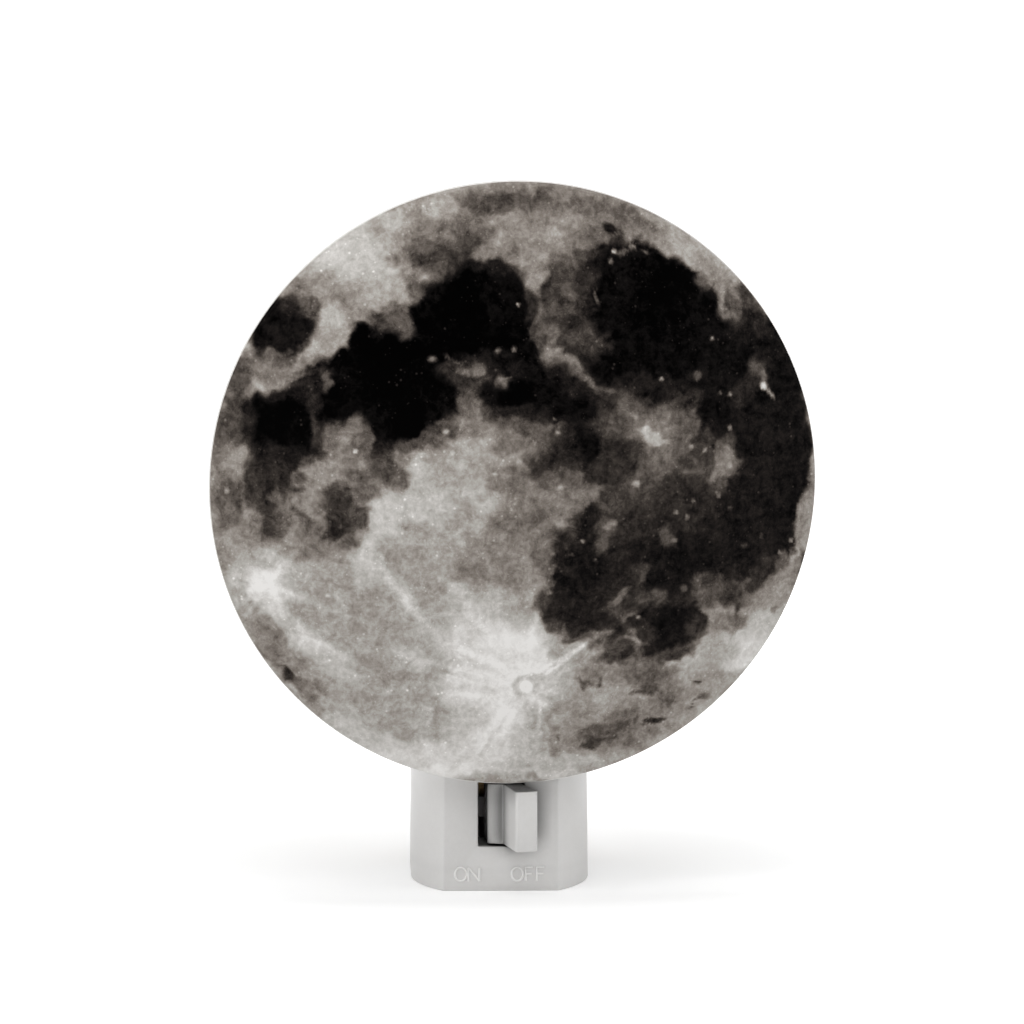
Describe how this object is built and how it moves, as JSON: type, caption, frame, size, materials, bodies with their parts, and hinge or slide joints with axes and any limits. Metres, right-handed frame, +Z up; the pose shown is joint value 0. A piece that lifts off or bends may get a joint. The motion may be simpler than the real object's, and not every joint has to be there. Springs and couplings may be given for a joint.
{
  "type": "plug-in night light",
  "caption": "Plug-in night light with a round domed moon shade on a swivelling clip, a screw-in bulb and a rotary lever switch.",
  "frame": {"origin": "centre of the flat bottom face that the light stands on", "axes": "+Z up along the bulb's axis, +Y towards the wall along the plug blades, the shade and the lever towards -Y"},
  "size_m": [0.1095, 0.0634, 0.131],
  "materials": {
    "housing": "fine satin moulded plastic",
    "screws": "zinc-plated steel",
    "blades": "nickel-plated brass",
    "rivets": "nickel-plated brass",
    "strips": "bare rolled brass",
    "tower": "satin moulded plastic",
    "washer": "pressed red fibre",
    "shell": "drawn brass",
    "lever": "satin moulded plastic",
    "bulb_glass": "clear glass",
    "bulb_base": "drawn aluminium",
    "insulator": "black vitrified insulator",
    "solder": "tinned solder",
    "wires": "drawn wire",
    "shade": "satin, printed with the near side of the moon",
    "clip": "satin moulded plastic"
  },
  "bodies": {
    "base": {"front_housing": "housing", "rear_cover": "housing", "cover_screws": "screws", "line_blade": "blades", "neutral_blade": "blades", "blade_rivets": "rivets", "line_strip": "strips", "neutral_strip": "strips", "centre_strip": "strips", "contact_buttons": "rivets", "socket_tower": "tower", "insulating_washer": "washer", "socket_shell": "shell"},
    "lever": {"switch_lever": "lever", "moving_contact": "strips"},
    "bulb": {"bulb_glass": "bulb_glass", "bulb_base": "bulb_base", "bulb_insulator": "insulator", "bulb_tip": "solder", "bulb_stem": "bulb_glass", "bulb_leads": "wires", "bulb_filament": "wires"},
    "shade": {"moon_shade": "shade", "shade_clip": "clip", "clip_screws": "screws"}
  },
  "joints": [
    {"name": "switch_turn", "type": "hinge", "parent": "base", "child": "lever", "pos_m": [0, -0.0069, 0.014], "axis": [0, 0, 1], "range_deg": [-36, 0]},
    {"name": "bulb_lift", "type": "slide", "parent": "base", "child": "bulb", "axis": [0, 0, 1], "range_m": [0, 0.018]},
    {"name": "shade_swivel", "type": "hinge", "parent": "base", "child": "shade", "pos_m": [0, 0.001, 0.049], "axis": [0, 0, 1], "range_deg": [-30.5, 19.5]}
  ]
}
